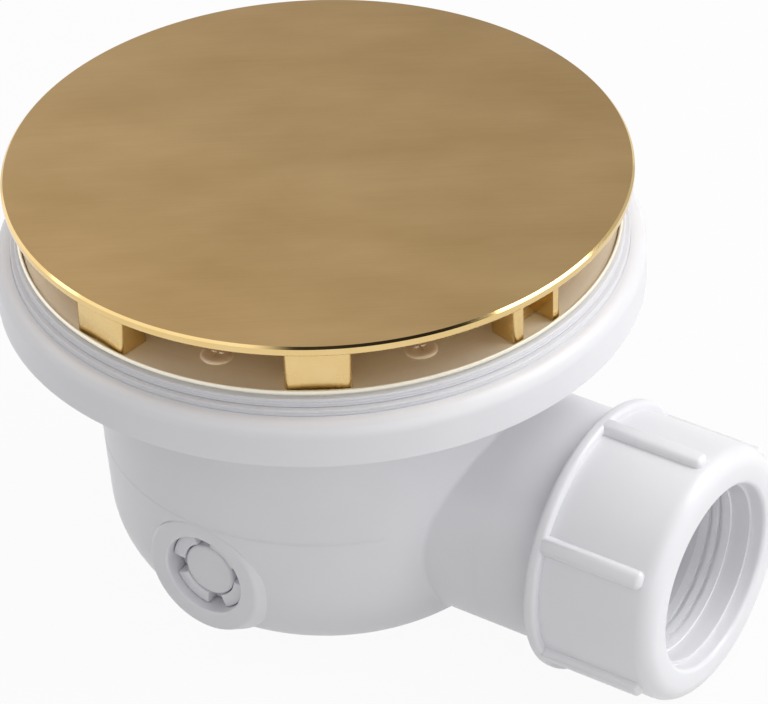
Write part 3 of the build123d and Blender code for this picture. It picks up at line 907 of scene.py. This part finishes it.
@dataclass
class Studio:
    """White floor, soft lights and the camera of the photograph."""

    azimuth: float = 34.71
    elevation: float = 35.81
    roll: float = -1.97
    distance_mm: float = 769.1
    target_mm: tuple[float, float, float] = (10.19, 4.10, 45.0)
    lens_mm: float = 196.65
    ambient: float = 0.51
    key_power: float = 6.5
    fill_power: float = 1.9
    front_power: float = 1.1
    lit_place: tuple[float, float, float] = (0.01, 0, 0.04)   # where the lights look, in metres
    floor_size: float = 6.0
    floor_drop_mm: float = 0.05
    floor_glow: float = 0.94   # share of the floor that is plain white to the eye

    def axes(self) -> tuple[Vector, Vector, Vector]:
        """Gives the camera's right, up and backward directions, level."""
        a, e = math.radians(self.azimuth), math.radians(self.elevation)
        back = Vector((math.sin(a) * math.cos(e), -math.cos(a) * math.cos(e), math.sin(e)))
        right = Vector((math.cos(a), math.sin(a), 0))
        return right, back.cross(right), back

    def camera(self) -> None:
        """Sets up the camera."""
        right, up, back = self.axes()
        r = math.radians(self.roll)
        tilted_right = right * math.cos(r) + up * math.sin(r)
        tilted_up = up * math.cos(r) - right * math.sin(r)
        eye = (Vector(self.target_mm) + back * self.distance_mm) * MM
        data = bpy.data.cameras.new("camera")
        data.lens = self.lens_mm
        data.sensor_width = 36.0
        camera = bpy.data.objects.new("camera", data)
        camera.matrix_world = Matrix((
            (tilted_right.x, tilted_up.x, back.x, eye.x), (tilted_right.y, tilted_up.y, back.y, eye.y),
            (tilted_right.z, tilted_up.z, back.z, eye.z), (0, 0, 0, 1)))
        bpy.context.scene.collection.objects.link(camera)
        bpy.context.scene.camera = camera

    def lamp(self, name: str, place: Vector, size: float, power: float) -> None:
        """Adds a square soft light that looks at the trap.

        Args:
            name: its name.
            place: where it hangs, in metres.
            size: side of the square, in metres.
            power: watts.
        """
        data = bpy.data.lights.new(name, "AREA")
        data.size = size
        data.energy = power
        light = bpy.data.objects.new(name, data)
        light.location = place
        light.rotation_euler = (place - Vector(self.lit_place)).to_track_quat("Z", "Y").to_euler()
        bpy.context.scene.collection.objects.link(light)

    def lights(self) -> None:
        """Hangs the soft key light on the right, a weaker one behind on the left, a low one in front."""
        right, _, back = self.axes()
        ahead = Vector((-back.x, -back.y, 0)).normalized()
        self.lamp("key", right * 0.70 + ahead * 0.05 + UP * 0.75, 0.7, self.key_power)
        self.lamp("fill", right * -0.65 + ahead * 0.30 + UP * 0.75, 0.7, self.fill_power)
        self.lamp("front", right * 0.40 - ahead * 0.60 + UP * 0.28, 0.6, self.front_power)

    def world(self) -> None:
        """Makes the world: white to the eye, one plain level on matt surfaces, and for reflections a sky that
        grows brighter to the left and up, with a dark patch above right of the camera."""
        right, _, back = self.axes()
        brighter = UP * 1.5 - right * 1.7
        above = (back + UP * 0.5 + right * 0.36).normalized()
        world = bpy.data.worlds.new("studio")
        world.use_nodes = True
        bpy.context.scene.world = world
        tree = world.node_tree
        tree.nodes.clear()
        path = add_node(tree, "ShaderNodeLightPath")
        place = add_node(tree, "ShaderNodeTexCoord")
        towards = add_node(tree, "ShaderNodeVectorMath", {
            0: place.outputs["Generated"], 1: tuple(above)}, operation="DOT_PRODUCT")
        patch = add_node(tree, "ShaderNodeMapRange", {
            "Value": towards.outputs["Value"],
            "From Min": 0.84, "From Max": 0.92, "To Min": 1.0, "To Max": 0.03})
        slope = add_node(tree, "ShaderNodeVectorMath", {
            0: place.outputs["Generated"], 1: tuple(brighter)}, operation="DOT_PRODUCT")
        sky = add_node(tree, "ShaderNodeMapRange", {
            "Value": slope.outputs["Value"],
            "From Min": 0.65, "From Max": 1.21, "To Min": 0.70, "To Max": 1.28})
        level = add_node(tree, "ShaderNodeMath", {
            0: sky.outputs["Result"], 1: patch.outputs["Result"]}, operation="MULTIPLY")
        seen = add_node(tree, "ShaderNodeBackground", {"Strength": 1.0})
        shiny = add_node(tree, "ShaderNodeBackground", {"Strength": level.outputs["Value"]})
        plain = add_node(tree, "ShaderNodeBackground", {"Strength": self.ambient})
        for node in (seen, shiny, plain):
            node.inputs["Color"].default_value = linear("#FFFFFF")
        gloss = add_node(tree, "ShaderNodeMixShader", {
            0: path.outputs["Is Glossy Ray"], 1: plain.outputs[0], 2: shiny.outputs[0]})
        final = add_node(tree, "ShaderNodeMixShader", {
            0: path.outputs["Is Camera Ray"], 1: gloss.outputs[0], 2: seen.outputs[0]})
        add_node(tree, "ShaderNodeOutputWorld", {"Surface": final.outputs[0]})

    def floor(self) -> None:
        """Lays the pale floor, which keeps a faint shadow."""
        bm = bmesh.new()
        bmesh.ops.create_grid(bm, x_segments=1, y_segments=1, size=self.floor_size)
        bmesh.ops.translate(bm, verts=bm.verts, vec=(0, 0, -self.floor_drop_mm * MM))
        mesh = bpy.data.meshes.new("floor")
        bm.to_mesh(mesh)
        bm.free()
        floor = bpy.data.objects.new("floor", mesh)
        bpy.context.scene.collection.objects.link(floor)
        material, tree, shader = start_material("floor_white_paper")
        shader.inputs["Base Color"].default_value = linear("#D0D0D0")
        shader.inputs["Roughness"].default_value = 0.9
        path = add_node(tree, "ShaderNodeLightPath")
        either = add_node(tree, "ShaderNodeMath", {
            0: path.outputs["Is Camera Ray"], 1: path.outputs["Is Glossy Ray"]}, operation="MAXIMUM")
        share = add_node(tree, "ShaderNodeMath", {
            0: either.outputs["Value"], 1: self.floor_glow}, operation="MULTIPLY")
        glow = add_node(tree, "ShaderNodeEmission", {"Color": linear("#FFFFFF"), "Strength": 1.0})
        mixed = add_node(tree, "ShaderNodeMixShader", {
            0: share.outputs["Value"], 1: shader.outputs[0], 2: glow.outputs[0]})
        tree.links.new(mixed.outputs[0], tree.nodes["Material Output"].inputs["Surface"])
        mesh.materials.append(material)

    def build(self) -> None:
        """Sets the whole studio up."""
        self.camera()
        self.lights()
        self.world()
        self.floor()
        bpy.context.scene.view_settings.view_transform = "Standard"
        log.info("studio: camera at %.1f, %.1f degrees", self.azimuth, self.elevation)


def dress_solids(finishes: dict[str, bpy.types.Material]) -> None:
    """Gives the solids that stay as they are their finishes.

    Args:
        finishes: name of the solid to its material.
    """
    for name, material in finishes.items():
        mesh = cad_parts[name].data
        mesh.materials.clear()
        mesh.materials.append(material)
        log.info("%s: %s", name, material.name)


def main() -> None:
    """Builds the trap's pieces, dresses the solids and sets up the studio."""
    logging.basicConfig(level=logging.INFO, format="%(name)s %(message)s")
    plastic = MouldedPlastic().material()
    nut_plastic = MouldedPlastic(name="polypropylene_moulded_nut", colour="#E9E9EC", flow_colour="#E4E4E8",
                                 roughness=0.30).material()
    seal = Rubber(name="tpe_moulded_grey_white", colour="#D6D6DA", bloom_colour="#DEDEE2",
                  roughness=0.42).material()
    # a lighter copy of the seal rubber for the pipe seal: the extra lightness is painted light that lifts the
    # shade inside the nut's mouth
    ring = Rubber(name="tpe_white_painted_light", colour="#EDEDF0", bloom_colour="#F4F4F6",
                  roughness=0.4).material()
    black = Rubber().material()
    dress_solids({
        "trap_body": plastic, "outlet_socket": plastic, "seal_cup": plastic, "dip_tube": plastic,
        "slip_washer": nut_plastic, "pipe_seal": ring, "dip_tube_o_ring": black, "plug_o_ring": black})
    Cover().build()
    screws = Screws()
    screws.build()
    Dish().build(SatinSteel().material(), screws)
    MouldLine().build(plastic)
    Gasket("tray_gasket_upper", "upper_gasket", 55.0, 71.7).build(seal)
    Gasket("tray_gasket_lower", "lower_gasket", 55.85, 70.0).build(seal)
    OutletNut().build(nut_plastic)
    plug = CleaningPlug()
    plug.build(plastic)
    plug.build_rim(plastic)
    Studio().build()


if __name__ == "__main__":
    main()
